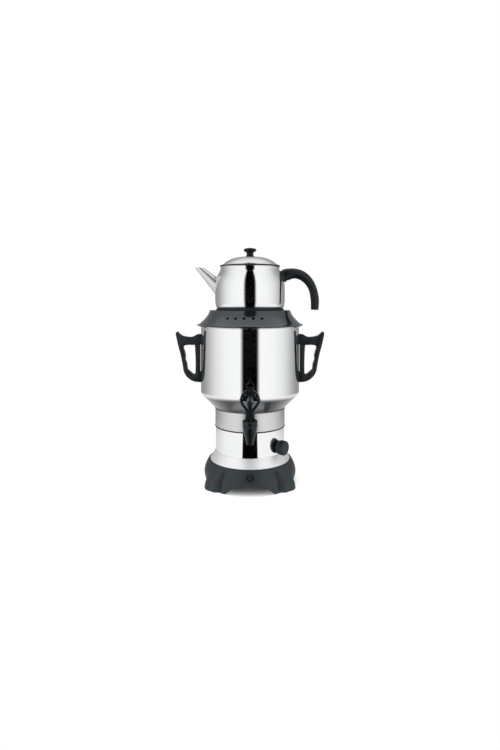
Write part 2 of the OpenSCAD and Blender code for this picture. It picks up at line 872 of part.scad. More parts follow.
// Block to switch, down through the deck's hole
lead_switch = concat(
    bend([[-lead_step, block_y - lead_gap, deck_z + block_h / 2],
        [-lead_step, block_y - lead_bend, deck_z + block_h / 2],
        [-lead_step, block_y - lead_bend, low_z], [-lead_step, -lead_bend / 2, low_z]]),
    run([-lead_step, -lead_bend / 2, low_z], [-lead_step / 2, lead_gap - switch_back_y, button_z],
        lead_steps / 2));
// Switch to thermostat, up through the same hole
lead_thermo = concat(
    bend([[lead_step / 2, lead_gap - switch_back_y, button_z],
        [lead_step, -switch_back_y + lead_bend, button_z],
        [lead_step * 2, -lead_bend, low_z], [lead_step * 3, -lead_step, deck_z]]),
    [for (p = bend([[lead_step * 3, -lead_step, deck_z], [lead_step * 4, lead_step, deck_z + lead_bend / 2],
        [thermo_x, thermo_y, knob_z - thermo_h / 2 - lead_drop_share * lead_bend],
        [thermo_x, thermo_y, knob_z - thermo_h / 2 - lead_gap]])) if (p[2] > deck_z) p]);
// Thermostat to the front tab of the cut-out
lead_cutout = bend([[thermo_x, thermo_y, knob_z + thermo_h / 2 + lead_gap],
    [thermo_x, thermo_y, knob_z + thermo_h / 2 + 2 * lead_step],
    [0, -tab_y - lead_bend / 2, tab_z], [0, -tab_y - lead_gap, tab_z]]);
// Rear tab of the cut-out to the right leg
lead_leg = bend([[0, tab_y + lead_gap, tab_z], [0, tab_y + lead_bend / 3, tab_z],
    [leg_x, leg_y, pin_end_z - lead_bend], [leg_x, leg_y, pin_end_z - lead_gap]]);
// Left leg back to the block
lead_back = bend([[-leg_x, leg_y, pin_end_z - lead_gap], [-leg_x, leg_y, pin_end_z - lead_bend / 2],
    [-leg_x, block_y + block_d / 2, deck_z + block_h + lead_bend / 2],
    [-leg_x, block_y + block_d / 2, deck_z + block_h + lead_gap]]);

module inner_leads()
    color(lead_colour) for (path = [lead_switch, lead_thermo, lead_cutout, lead_leg, lead_back])
        wire(path, lead_r, lead_across_shares, lead_sides);

module neck_ring()
    color(satin) {
        translate([0, 0, tank_z]) tube(neck_ring_r, neck_ring_r - sheet, neck_h);
        translate([0, 0, neck_top - neck_bead_h])
            tube(neck_ring_r + neck_bead, neck_ring_r - sheet, neck_bead_h);
    }

// Outline of the tank's wall, inset from its outer face
function tank_line(inset) = concat(
    [[neck_r - inset, cone_z + inset * tan(cone_angle / 2)]],
    [for (a = levels(cone_angle, 0, crease_steps))
        [tank_r - crease_r + (crease_r - inset) * cos(a), crease_mid_z - (crease_r - inset) * sin(a)]],
    [[tank_r - inset, tank_top]]);

module tank_shell()
    color(polished) difference() {
        rotate_extrude() union() {
            polygon(concat(
                [[neck_r - ledge_w, tank_z], [neck_r, tank_z]],
                tank_line(0),
                backwards(tank_line(tank_wall)),
                [[neck_r - tank_wall, floor_z], [neck_r - ledge_w, floor_z]]));
            translate([tank_r + rim_bead_r / 2, tank_top - rim_bead_r]) circle(r = rim_bead_r);
        }
        translate([0, 0, tap_z]) rod_front(tank_r - shank_in, tank_r + over, shank_r + neck_gap);
        at_grip_screws() rod_x(head_x, tank_r + over, grip_screw_r + fit_gap);
    }

module tank_floor()
    color(satin) difference() {
        translate([0, 0, floor_z]) cylinder(h = floor_t, r = floor_r);
        at_legs() translate([0, 0, floor_z - over])
            cylinder(h = floor_t + 2 * over, r = bush_r + fit_gap);
    }

module heating_element()
    color(zinc) {
        translate([0, 0, heater_z]) rotate(90 + heater_half_gap)
            rotate_extrude(angle = 360 - 2 * heater_half_gap)
                translate([heater_r, 0]) circle(r = heater_tube_r);
        at_legs() {
            translate([0, 0, heater_z]) sphere(r = heater_tube_r + heater_ball);
            translate([0, 0, bush_end_z]) cylinder(h = heater_z - bush_end_z, r = heater_tube_r);
            translate([0, 0, bush_end_z])
                cylinder(h = floor_z + floor_t + seal_h + shoulder_h - bush_end_z, r = bush_r);
            translate([0, 0, floor_z + floor_t + seal_h]) cylinder(h = shoulder_h, r = shoulder_r);
            translate([0, 0, pin_end_z]) cylinder(h = pin_l, r = pin_r);
        }
    }

module element_seals()
    color(rubber) at_legs() translate([0, 0, floor_z + floor_t])
        tube(shoulder_r, bush_r + fit_gap, seal_h);

module element_nuts()
    color(zinc) at_legs() translate([0, 0, floor_z - bush_nut_h]) difference() {
        cylinder(h = bush_nut_h, r = bush_nut_r, $fn = 6);
        translate([0, 0, -over]) cylinder(h = bush_nut_h + 2 * over, r = bush_r + run_gap);
    }

function grip_points(shares) = [for (s = shares) [tank_r + s[0] * grip_out, s[1] * grip_h]];

// Right handle; its pads follow the tank's wall and a relief parts them
module grip()
    translate([0, 0, grip_z]) difference() {
        rotate([90, 0, 0]) linear_extrude(height = grip_t, center = true) difference() {
            polygon(concat(
                [[tank_r - grip_relief, 0]],
                spline(grip_points(grip_edge_shares), grip_steps),
                spline(grip_points(grip_top_shares), grip_steps),
                [[tank_r - grip_relief, grip_foot_share * grip_h]]));
            polygon(loop_spline(grip_points(grip_hole_shares), grip_steps));
            translate([tank_r - grip_relief - over, grip_pad_share * grip_h])
                square([2 * grip_relief + over, (grip_foot_share - 2 * grip_pad_share) * grip_h]);
        }
        translate([0, 0, -over]) cylinder(h = grip_h + 2 * over, r = tank_r + fit_gap);
        for (s = grip_screw_shares) translate([0, 0, s * grip_h])
            rod_x(head_x, head_x + grip_screw_l + over, grip_screw_r + fit_gap);
    }

module right_handle()
    color(black_plastic) grip();

module left_handle()
    color(black_plastic) mirror([1, 0, 0]) grip();

module at_grip_screws()
    for (side = [0, 180], s = grip_screw_shares)
        rotate(side) translate([0, 0, grip_z + s * grip_h]) children();

module handle_screws()
    color(zinc) at_grip_screws() {
        rod_x(head_x - grip_head_t, head_x, grip_head_r);
        rod_x(head_x - grip_head_t, head_x + grip_screw_l, grip_screw_r);
    }

// Washers follow the inside of the tank's wall
module handle_washers()
    color(rubber) at_grip_screws() intersection() {
        difference() {
            rod_x(head_x - washer_t / 2, tank_r, washer_r);
            rod_x(head_x - washer_t, tank_r + over, grip_screw_r + fit_gap);
            rod_x(head_x - washer_t, head_x, washer_r + over);
        }
        translate([0, 0, -washer_r - over])
            cylinder(h = 2 * (washer_r + over), r = tank_r - tank_wall - fit_gap / 2, $fn = fine);
    }

module at_bend()
    translate([0, -bend_y, tap_z]) rotate([90 + bend_angle, 0, 0]) children();

// Tap: shank that falls to an elbow, neck, and the barrel with a cup on top
module tap_body()
    color(black_plastic) difference() {
        union() {
            translate([0, 0, tap_z]) {
                rod_front(tank_r - shank_in, bend_y, shank_r);
                rod_front(tank_r + gasket_gap, tank_r + gasket_gap + flange_t, flange_r);
            }
            at_bend() cylinder(h = bend_l, r = shank_r);
            translate([0, -passage_y, elbow_z]) sphere(r = elbow_r, $fn = ball_faces);
            translate([0, -passage_y, elbow_z - elbow_drop]) cylinder(h = elbow_drop, r = elbow_r);
            translate([0, -passage_y, elbow_z - elbow_drop]) sphere(r = elbow_r, $fn = ball_faces);
            translate([0, -passage_y, ceiling_z]) cylinder(h = elbow_z - ceiling_z, r = neck_tube_r);
            translate([0, -barrel_y, barrel_z]) difference() {
                cylinder(h = cup_h, r = cup_r);
                translate([0, 0, cup_floor - barrel_z]) cylinder(h = recess_h + over, r = recess_r);
            }
        }
        translate([0, 0, tap_z]) rod_front(tank_r - shank_in - over, bend_y, shank_bore_r);
        translate([0, -bend_y, tap_z]) sphere(r = shank_bore_r, $fn = ball_faces);
        at_bend() cylinder(h = bend_l, r = shank_bore_r);
        translate([0, -passage_y, elbow_z]) sphere(r = shank_bore_r, $fn = ball_faces);
        translate([0, -passage_y, plug_top + fit_gap]) cylinder(h = elbow_z - plug_top, r = passage_r);
        translate([0, -barrel_y, 0]) {
            translate([0, 0, barrel_z - over])
                cylinder(h = plug_up + over + fit_gap, r = plug_r_in + fit_gap);
            translate([0, 0, barrel_z]) cylinder(h = ceiling_z - barrel_z, r = chamber_r);
            translate([0, 0, ceiling_z - over]) cylinder(h = cup_floor_t + 2 * over, r = stem_r + fit_gap);
            translate([-notch_w / 2, -cup_r - over, cup_top - notch_drop - notch_h])
                cube([notch_w, notch_deep + over, notch_h]);
        }
    }

// Gasket follows the tank's wall
module tap_gasket()
    color(rubber) translate([0, 0, tap_z]) difference() {
        rod_front(tank_r - over, tank_r + gasket_gap, flange_r);
        rod_front(tank_r - 2 * over, tank_r + gasket_gap + over, shank_r + fit_gap);
        translate([0, 0, -flange_r - over])
            cylinder(h = 2 * (flange_r + over), r = tank_r + fit_gap / 2, $fn = fine);
    }

module tap_inner_seal()
    color(rubber) translate([0, 0, tap_z]) intersection() {
        difference() {
            rod_front(tank_r - tank_wall - inner_seal_t, tank_r, flange_r);
            rod_front(tank_r - tank_wall - 2 * inner_seal_t, tank_r + over, shank_r + fit_gap);
        }
        translate([0, 0, -tap_z]) rotate_extrude($fn = fine)
            polygon(concat(tank_line(tank_wall + fit_gap / 2), [[0, tank_top], [0, cone_z]]));
    }

module tap_nut()
    color(black_plastic) translate([0, -tank_r + tank_wall + inner_seal_t + tap_nut_t, tap_z])
        rotate([90, 0, 0]) difference() {
            cylinder(h = tap_nut_t, r = tap_nut_r, $fn = 6);
            translate([0, 0, -over]) cylinder(h = tap_nut_t + 2 * over, r = shank_r + run_gap);
        }

// Outline of the outlet under the barrel
spout_profile = spline([for (s = spout_shares) [s[0] * spout_body_r, spout_z + s[1] * spout_h]], 3);

module tap_spout()
    color(black_plastic) translate([0, -barrel_y, 0]) difference() {
        union() {
            turned(spout_profile);
            translate([0, 0, barrel_z - over]) cylinder(h = plug_up + over, r = plug_r_in);
        }
        translate([0, 0, seat_z]) cylinder(h = plug_top + over - seat_z, r = chamber_r);
        translate([0, 0, spout_z - over]) cylinder(h = seat_z - spout_z + 2 * over, r = outlet_r);
        intersection() {
            translate([-groove_w / 2, -cup_r, spout_z + groove_foot])
                cube([groove_w, cup_r, spout_h - groove_foot + over]);
            rotate_extrude() polygon(concat(
                [for (p = spout_profile) [p[0] - groove_deep, p[1]]],
                [[spout_body_r, barrel_z + 2 * over], [cup_r, barrel_z], [cup_r, spout_z]]));
        }
    }

// Outline of a big and a small circle joined by straight sides
function teardrop(big_r, small_r, apart) = let (a = asin((big_r - small_r) / apart))
    concat(
        [for (t = levels(-a, 180 + a, 28)) big_r * [cos(t), sin(t)]],
        [for (t = levels(180 + a, 360 - a, 8)) [0, -apart] + small_r * [cos(t), sin(t)]]);

// Point of a heel that stays on the cup's floor while the pin rises in step with the turn
function heel_at(a) = let (low = heel_low + lift_rate * a * PI / 180)
    [low * sin(a) + lift_rate * cos(a), lift_rate * sin(a) - low * cos(a)];

// Lever: ring and tab in one plane over a saddle with two cheeks
module tap_lever()
    color(black_plastic) translate([0, -barrel_y, pivot_z]) difference() {
        union() {
            rotate([90, 0, 0]) linear_extrude(height = lever_t, center = true) {
                translate([0, lever_ring_up]) difference() {
                    polygon(teardrop(lever_ring_r, saddle_neck_r, lever_neck_up));
                    polygon(teardrop(lever_ring_r - lever_ring_w, saddle_neck_r - lever_ring_w,
                        lever_neck_up));
                }
                translate([-tab_stem_w / 2, lever_ring_up + lever_ring_r - lever_ring_w / 2])
                    square([tab_stem_w, tab_top_h + lever_ring_w / 2]);
                translate([-tab_top_w / 2, lever_ring_up + lever_ring_r + tab_top_h - tab_top_t])
                    square([tab_top_w, tab_top_t]);
            }
            intersection() {
                rotate([90, 0, -90]) linear_extrude(height = 2 * saddle_r, center = true) polygon(concat(
                    [[-saddle_back, -heel_rise], [-heel_back, -heel_low]],
                    [for (a = levels(0, lever_turn, heel_steps)) heel_at(a)],
                    [[saddle_tip, saddle_up], [-saddle_tip, saddle_up], [-saddle_back, 0]]));
                rotate([90, 0, 0]) linear_extrude(height = 2 * cup_r, center = true)
                    polygon([[-saddle_r, -pivot_up], [saddle_r, -pivot_up], [saddle_r, 0],
                        [saddle_neck_r, saddle_up], [-saddle_neck_r, saddle_up], [-saddle_r, 0]]);
            }
        }
        rotate([90, 0, 0]) translate([0, slot_up, -cup_r]) cylinder(h = 2 * cup_r, r = slot_r);
        translate([-slot_r, -cup_r, -pivot_up - over])
            cube([2 * slot_r, 2 * cup_r, pivot_up + over + slot_up]);
        rod_x(-cup_r, cup_r, lever_pin_r + run_gap);
    }

module lever_pin()
    color(zinc) translate([0, -barrel_y, pivot_z]) rod_x(-lever_pin_l / 2, lever_pin_l / 2, lever_pin_r);

// Plunger: seal nipple, disc, stem and an eye for the lever's pin
module tap_plunger()
    color(zinc) translate([0, -barrel_y, 0]) difference() {
        union() {
            translate([0, 0, disc_z - seal_t]) cylinder(h = seal_t + disc_t, r = nipple_r);
            translate([0, 0, disc_z]) cylinder(h = disc_t, r = disc_r);
            translate([0, 0, disc_z]) cylinder(h = pivot_z - disc_z, r = stem_r);
            translate([0, 0, pivot_z]) rod_x(-eye_w / 2, eye_w / 2, eye_r);
        }
        translate([0, 0, pivot_z]) rod_x(-eye_w, eye_w, lever_pin_r + run_gap);
    }

module tap_seal()
    color(rubber) translate([0, -barrel_y, disc_z - seal_t]) tube(seal_r, nipple_r + fit_gap, seal_t);

module tap_spring()
    color(zinc) translate([0, -barrel_y, disc_z + disc_t + spring_wire_r + fit_gap / 2])
        wire(helix(spring_coil_r, spring_room - 2 * spring_wire_r - fit_gap, spring_turns, 16),
            spring_wire_r, [0, 0, 1], 6);

// Radius of the collar's flare at a share of its height
function flare_at(t) = top_r + (flare_r - top_r) * pow(1 - t, flare_curve);

// Collar: lip on the tank's rim, flare, flat top and a skirt inside the tank's mouth
module steam_collar()
    color(black_gloss) difference() {
        rotate_extrude() union() {
            polygon(concat(
                [[lip_r, collar_z + lip_t]],
                [for (t = levels(0, 1, flare_steps))
                    [flare_at(t), collar_z + lip_t + t * (collar_h - lip_t)]],
                [[throat_r, collar_top], [throat_r, collar_top - collar_wall]],
                [for (t = levels(1, 0, flare_steps))
                    [flare_at(t) - collar_wall, collar_z + t * (collar_h - collar_wall)]],
                [[lip_r, collar_z]]));
            translate([tank_r - tank_wall - sink_gap - sink_t, collar_z - sink_h])
                square([sink_t, sink_h + sink_top_share * collar_h - collar_wall / 2]);
        }
        for (k = [0:vents - 1])
            rotate(270 - vent_centre + (k - (vents - 1) / 2) * vent_pitch)
                translate([flare_at(vent_share), 0, collar_z + lip_t + vent_share * (collar_h - lip_t)])
                    rotate([0, 90 - vent_tilt, 0])
                        cylinder(h = 4 * collar_wall, r = vent_r, center = true);
    }

module seat_ring()
    color(rubber) translate([0, 0, collar_top]) tube(seat_r, seat_r - seat_w, seat_h);

module teapot_body()
    color(polished) difference() {
        rotate_extrude() union() {
            difference() {
                polygon(concat([[0, pot_z]], pot_profile,
                    [[mouth_r, pot_top - pot_bead_r], [0, pot_top - pot_bead_r]]));
                polygon(concat(
                    [[0, pot_z + pot_floor_t]],
                    [for (p = pot_profile) if (p[1] > pot_z + pot_floor_t) [p[0] - pot_wall, p[1]]],
                    [[mouth_r - pot_wall, pot_top + over], [0, pot_top + over]]));
            }
            translate([mouth_r - pot_wall + pot_bead_r, pot_top - pot_bead_r]) circle(r = pot_bead_r);
        }
        for (row = [-1, 0, 1], step = [-1, 0, 1])
            translate([-pot_r, step * strainer_pitch, strainer_z + row * strainer_pitch])
                rod_x(-over, pot_r / 4, strainer_r);
        translate([0, 0, bolt_z]) rod_x(bolt_x - over, pot_r + over, bolt_r + fit_gap);
    }

// Frame of the spout: Z runs from the body to the tip
module at_spout()
    translate([-tip_reach, 0, tip_z]) rotate([0, spout_angle - 90, 0]) children();

module teapot_spout()
    color(polished) difference() {
        at_spout() translate([0, 0, -spout_l])
            cylinder(h = spout_l + 2 * spout_tip_r, r1 = spout_tip_r + spout_taper * spout_l,
                r2 = spout_tip_r - spout_taper * 2 * spout_tip_r);
        at_spout() translate([0, 0, -spout_l - over])
            cylinder(h = spout_l + 2 * spout_tip_r + 2 * over,
                r1 = spout_tip_r + spout_taper * (spout_l + over) - spout_wall,
                r2 = spout_tip_r - spout_taper * (2 * spout_tip_r + over) - spout_wall);
        translate([-tip_reach - spout_l, -spout_l, tip_z]) cube([2 * spout_l, 2 * spout_l, spout_l]);
        turned(grown_pot(fit_gap / 2));
    }

// Teapot outline grown by a gap, a little past both ends
function grown_pot(gap) = concat(
    [[pot_profile[0][0] + gap, pot_z - over]],
    [for (p = pot_profile) [p[0] + gap, p[1]]],
    [[mouth_r + gap, pot_top + over]]);

hook_line = spline([for (s = hook_shares) [hook_x + s[0] * hook_out, 0, hook_z + s[1] * hook_h]],
    hook_steps);
hook_halves = spline([for (s = hook_half_shares) [s * hook_h, 0]], hook_steps);

// Oval ring round the handle's middle line
function hook_ring(i) = let (t = heading(hook_line, i), n = cross(t, [0, 1, 0]))
    [for (k = [0:hook_sides - 1]) hook_line[i]
        + hook_halves[i][0] * cos(360 * k / hook_sides) * n + [0, hook_t * sin(360 * k / hook_sides), 0]];

module teapot_handle()
    color(black_plastic) difference() {
        skin([for (i = [0:len(hook_line) - 1]) hook_ring(i)]);
        turned(grown_pot(guard_t + fit_gap));
        translate([0, 0, bolt_z]) rod_x(bolt_x, bolt_x + bolt_l + over, bolt_r + fit_gap);
    }

// Guard: a plate that hugs the teapot under the handle's root
module handle_guard()
    color(rubber) difference() {
        intersection() {
            difference() {
                turned(grown_pot(guard_t));
                turned(grown_pot(fit_gap / 2));
            }
            translate([0, -guard_w / 2, bolt_z - guard_half])
                cube([pot_r + guard_t + over, guard_w, 2 * guard_half]);
        }
        translate([0, 0, bolt_z]) rod_x(bolt_x, pot_r + guard_t + over, bolt_r + fit_gap);
    }

module pot_handle_bolt()
    color(zinc) translate([0, 0, bolt_z]) {
        rod_x(bolt_x - bolt_head_t, bolt_x, bolt_head_r);
        rod_x(bolt_x - bolt_head_t, bolt_x + bolt_l, bolt_r);
    }

// Dome of the lid, inset from its outer face
function dome_line(inset) = spline(concat(
    [for (s = dome_shares) [s[0] * (dome_r - inset), lid_z + lid_rim_h + s[1] * (dome_h - inset)]],
    [[flat_r, lid_top - inset]]), dome_steps);

module teapot_lid()
    color(polished) difference() {
        rotate_extrude() union() {
            polygon(concat(
                [[lid_r, lid_z], [lid_r, lid_z + lid_rim_h]],
                dome_line(0),
                [[0, lid_top], [0, lid_top - lid_t]],
                backwards(dome_line(lid_t)),
                [[dome_r - lid_t, lid_z]]));
            translate([lid_skirt_r - lid_t, lid_z - lid_skirt_h])
                square([lid_t, lid_skirt_h + lid_rim_h]);
        }
        translate([0, 0, lid_z]) cylinder(h = dome_h + 2 * lid_rim_h, r = lid_screw_r + fit_gap);
    }

module lid_knob()
    color(black_gloss) translate([0, 0, lid_top]) difference() {
        turned([for (s = lid_knob_shares) [s[0] * lid_knob_r, s[1] * lid_knob_h]]);
        translate([0, 0, -over]) cylinder(h = lid_screw_l + over, r = lid_screw_r + run_gap);
    }

module lid_screw()
    color(zinc) translate([0, 0, lid_top - lid_t - lid_screw_head_t]) {
        cylinder(h = lid_screw_head_t, r = lid_screw_head_r);
        cylinder(h = lid_screw_l, r = lid_screw_r);
    }

base_shell();
bottom_cover();
cover_screws();
rubber_feet();
power_button();
button_spring();
power_switch();
cord_gland();
terminal_block();
base_skirt();
base_sleeve();
seam_gasket();
tie_rods();
tie_nuts();
thermostat_body();
thermostat_nut();
thermostat_shaft();
thermostat_knob();
thermal_cutout();
cutout_clip();
inner_leads();
neck_ring();
tank_shell();
tank_floor();
heating_element();
element_seals();
element_nuts();
left_handle();
right_handle();
handle_screws();
handle_washers();
tap_body();
tap_gasket();
tap_inner_seal();
tap_nut();
tap_spout();
tap_lever();
lever_pin();
tap_plunger();
tap_seal();
tap_spring();
steam_collar();
seat_ring();
teapot_body();
teapot_spout();
teapot_handle();
handle_guard();
pot_handle_bolt();
teapot_lid();
lid_knob();
lid_screw();
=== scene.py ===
import json
import math

import bpy
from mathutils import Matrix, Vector


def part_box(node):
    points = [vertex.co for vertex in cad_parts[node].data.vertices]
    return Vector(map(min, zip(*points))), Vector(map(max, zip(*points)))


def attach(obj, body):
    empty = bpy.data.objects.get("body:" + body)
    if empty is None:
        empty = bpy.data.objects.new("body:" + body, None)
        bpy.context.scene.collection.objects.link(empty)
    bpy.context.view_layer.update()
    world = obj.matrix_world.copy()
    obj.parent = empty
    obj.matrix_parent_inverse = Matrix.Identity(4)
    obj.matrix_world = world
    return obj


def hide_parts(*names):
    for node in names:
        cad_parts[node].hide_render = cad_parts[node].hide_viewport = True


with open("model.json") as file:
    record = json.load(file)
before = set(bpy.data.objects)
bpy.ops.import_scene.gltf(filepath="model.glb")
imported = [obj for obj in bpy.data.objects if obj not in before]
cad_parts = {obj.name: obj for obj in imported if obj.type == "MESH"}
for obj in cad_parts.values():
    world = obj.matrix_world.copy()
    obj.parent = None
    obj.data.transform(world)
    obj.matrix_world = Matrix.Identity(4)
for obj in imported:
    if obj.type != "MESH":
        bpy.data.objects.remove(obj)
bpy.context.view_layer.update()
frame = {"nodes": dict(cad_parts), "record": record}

MM = 0.001
MERGE_MM = 0.002  # points nearer than this are one point
nodes = frame["nodes"]
body_of = {n: b for b, names in frame["record"]["behaviour"]["bodies"].items() for n in names}


def in_mm(corners):
    """Low and high corner of a box in mm."""
    return [[value / MM for value in corner] for corner in corners]


# ---- colours and shader nodes

WHITE = (1, 1, 1, 1)
BLACK = (0, 0, 0, 1)
TONE_DETAIL = 4.0
ROUGH_DETAIL = 3.0
NOISE_LOW, NOISE_HIGH = 0.3, 0.7  # the noise hardly ever leaves this range


def linear(hex_colour):
    """sRGB hex such as "c8c9ca" to linear RGBA."""
    parts = [int(hex_colour[i:i + 2], 16) / 255 for i in (0, 2, 4)]
    return [p / 12.92 if p <= 0.04045 else ((p + 0.055) / 1.055) ** 2.4 for p in parts] + [1.0]


def add(tree, kind, settings=None, **inputs):
    """Adds a shader node: settings are its properties, inputs are values or nodes' outputs."""
    node = tree.nodes.new(kind)
    for name, value in (settings or {}).items():
        setattr(node, name, value)
    for name, value in inputs.items():
        key = int(name[1:]) if name[0] == "i" and name[1:].isdigit() else name.replace("_", " ")
        if isinstance(value, bpy.types.NodeSocket):
            tree.links.new(value, node.inputs[key])
        else:
            node.inputs[key].default_value = value
    return node


def maths(tree, operation, *values):
    """Result of one operation on numbers or sockets."""
    inputs = {"i%d" % k: value for k, value in enumerate(values)}
    return add(tree, "ShaderNodeMath", {"operation": operation}, **inputs).outputs[0]


def place_of(tree, kind="Object"):
    """Coordinates of the shaded point, on the object's own axes if not said otherwise."""
    return add(tree, "ShaderNodeTexCoord").outputs[kind]


def fade(tree, value, start, end, low=0.0, high=1.0):
    """Eased change from low to high while value goes from start to end."""
    return add(tree, "ShaderNodeMapRange", {"interpolation_type": "SMOOTHSTEP"}, Value=value,
               From_Min=start, From_Max=end, To_Min=low, To_Max=high).outputs["Result"]


def mixed(tree, share, colour, other):
    """Colour that goes over into the other as share goes from 0 to 1."""
    return add(tree, "ShaderNodeMix", {"data_type": "RGBA"}, Factor=share,
               i6=colour, i7=other).outputs["Result"]


def ramp(tree, value, stops):
    """Smooth grey ramp: stops are (place, brightness)."""
    node = add(tree, "ShaderNodeValToRGB", Fac=value)
    node.color_ramp.interpolation = "B_SPLINE"
    points = node.color_ramp.elements
    while len(points) < len(stops):
        points.new(0.5)
    for point, (place, level) in zip(points, stops):
        point.position = place
        point.color = (level, level, level, 1)
    return node.outputs["Color"]


def noise(tree, size_mm, detail, stretch=None):
    """Noise whose spots are size_mm across."""
    place = place_of(tree)
    if stretch:
        place = add(tree, "ShaderNodeMapping", Vector=place, Scale=stretch).outputs["Vector"]
    return add(tree, "ShaderNodeTexNoise", Vector=place, Scale=1 / (size_mm * MM),
               Detail=detail).outputs["Fac"]


def grain(tree, shader, size_mm, depth_mm, strength, detail=2.0, stretch=None):
    """Surface bump from noise."""
    bump = add(tree, "ShaderNodeBump", Height=noise(tree, size_mm, detail, stretch),
               Strength=strength, Distance=depth_mm * MM)
    tree.links.new(bump.outputs["Normal"], shader.inputs["Normal"])


def material(name, tones, tone_mm, rough=None, rough_mm=None, bump=None, **values):
    """New material: its colour drifts between two near tones in patches tone_mm across, and its
    roughness, if given, between two values in patches rough_mm across. bump goes to grain, and
    values are numbers and colours that are the same all over."""
    mat = bpy.data.materials.new(name)
    mat.use_nodes = True
    tree = mat.node_tree
    shader = tree.nodes["Principled BSDF"]
    for key, value in values.items():
        shader.inputs[key.replace("_", " ")].default_value = value
    dark, light = [linear(tone) for tone in tones]
    tone = mixed(tree, noise(tree, tone_mm, TONE_DETAIL), dark, light)
    tree.links.new(tone, shader.inputs["Base Color"])
    if rough:
        spread = add(tree, "ShaderNodeMapRange", Value=noise(tree, rough_mm, ROUGH_DETAIL),
                     From_Min=NOISE_LOW, From_Max=NOISE_HIGH, To_Min=rough[0], To_Max=rough[1])
        tree.links.new(spread.outputs["Result"], shader.inputs["Roughness"])
    if bump:
        grain(tree, shader, **bump)
    return mat


# ---- materials

# The moulded parts reflect a little cooler than white
COOL = (0.84, 0.95, 1.0, 1.0)

# Stainless steel sheet, buffed to a mirror: clear reflections with a faint haze from the buffing
mirror_steel = material(
    "stainless steel, mirror buffed", ("e6e7e8", "eaebec"), tone_mm=60,
    rough=(0.045, 0.075), rough_mm=25,
    bump={"size_mm": 45, "depth_mm": 0.02, "strength": 0.25, "detail": 1.0}, Metallic=1.0)

# Stainless steel band and spout, brushed round the axis: fine lines spread light up and down
brushed_steel = material(
    "stainless steel, satin brushed", ("c9caca", "d1d2d2"), tone_mm=30,
    bump={"size_mm": 8, "depth_mm": 0.012, "strength": 0.5, "detail": 3.0, "stretch": (1, 1, 26)},
    Metallic=1.0, Roughness=0.24, Anisotropic=0.7)

# Stainless steel skirt, buffed with a soft wheel: reflections without an outline
soft_steel = material(
    "stainless steel, soft buffed", ("eeeff0", "f2f3f4"), tone_mm=40,
    rough=(0.4, 0.46), rough_mm=20,
    bump={"size_mm": 45, "depth_mm": 0.02, "strength": 0.2, "detail": 1.0}, Metallic=0.72)

# Stainless steel of the lid, brushed finer and brighter than the band
lid_steel = material(
    "stainless steel, fine brushed", ("d9dadb", "dfe0e1"), tone_mm=30,
    rough=(0.28, 0.34), rough_mm=20, Metallic=1.0)

# Stainless steel of the tank's cone, left as spun: duller than the buffed wall. Its darker colour
# is partly painted shade, standing in for the shadowed floor the cone reflects
spun_and_shaded_steel = material(
    "stainless steel, spun, painted shade", ("9fa0a3", "a9aaad"), tone_mm=30,
    rough=(0.2, 0.26), rough_mm=20, Metallic=1.0)

# Drawn stainless tube of the heater, dull from heat
heater_steel = material(
    "stainless tube, heat dulled", ("86827e", "a8a4a0"), tone_mm=12,
    rough=(0.3, 0.45), rough_mm=6, Metallic=1.0)

# Steel screws, pins and springs with a bright zinc coat
zinc_coat = material(
    "steel, bright zinc plated", ("b4b7bb", "cdd0d3"), tone_mm=5,
    rough=(0.22, 0.34), rough_mm=3, Metallic=1.0)

# Polypropylene, moulded with a fine spark-eroded grain: dull black with a soft sheen
grained_pp = material(
    "polypropylene, black, grained", ("1f2529", "23292d"), tone_mm=20,
    rough=(0.38, 0.46), rough_mm=14,
    bump={"size_mm": 0.7, "depth_mm": 0.02, "strength": 0.35}, IOR=1.47, Specular_Tint=COOL)

# Phenolic resin, pressed in a smooth mould: handles with a satin face
satin_phenolic = material(
    "phenolic resin, black, satin", ("0e1113", "121518"), tone_mm=15,
    rough=(0.3, 0.38), rough_mm=10,
    bump={"size_mm": 1.2, "depth_mm": 0.01, "strength": 0.3}, IOR=1.38, Specular_Tint=COOL)

# Phenolic resin, pressed in a polished mould: a clear gloss
gloss_phenolic = material(
    "phenolic resin, black, glossy", ("12161a", "161a1f"), tone_mm=25,
    rough=(0.08, 0.13), rough_mm=18,
    bump={"size_mm": 14, "depth_mm": 0.02, "strength": 0.2, "detail": 1.0},
    IOR=1.6, Specular_Tint=COOL, Coat_Tint=COOL, Coat_Weight=0.5, Coat_Roughness=0.04)

# Phenolic resin, polished by hand on the lid's knob and the power mark: the deepest black
deep_phenolic = material(
    "phenolic resin, black, polished", ("060607", "08090a"), tone_mm=10,
    rough=(0.2, 0.28), rough_mm=8, IOR=1.3)

# Acetal of the tap and the rotary knob, moulded: dark with a slight sheen
tap_acetal = material(
    "acetal, black, moulded", ("0f1214", "131619"), tone_mm=10,
    rough=(0.26, 0.36), rough_mm=6,
    bump={"size_mm": 0.9, "depth_mm": 0.008, "strength": 0.3}, IOR=1.4, Specular_Tint=COOL)

# EPDM seals and pads: matt black. The same black also makes the painted shadow lines under lid and
# collar and round the skirt
rubber_and_shadow_black = material(
    "EPDM rubber, black, matt", ("0c0d0e", "111213"), tone_mm=6,
    rough=(0.55, 0.7), rough_mm=4,
    bump={"size_mm": 0.5, "depth_mm": 0.02, "strength": 0.4}, IOR=1.5)

# Steatite of the electric parts: off-white and matt
steatite = material(
    "steatite, off-white, fired", ("cfc8b6", "ddd7c8"), tone_mm=4,
    rough=(0.45, 0.6), rough_mm=3, IOR=1.55)

# Polyamide switch housings, black
switch_nylon = material(
    "polyamide, black, moulded", ("1d1e1f", "242526"), tone_mm=8,
    rough=(0.4, 0.5), rough_mm=5, IOR=1.53)

# Silicone rubber sleeve of the inner leads, brick red
lead_sleeve = material(
    "silicone sleeve, brick red", ("8e3a2a", "a54634"), tone_mm=5,
    rough=(0.4, 0.55), rough_mm=3, IOR=1.43)

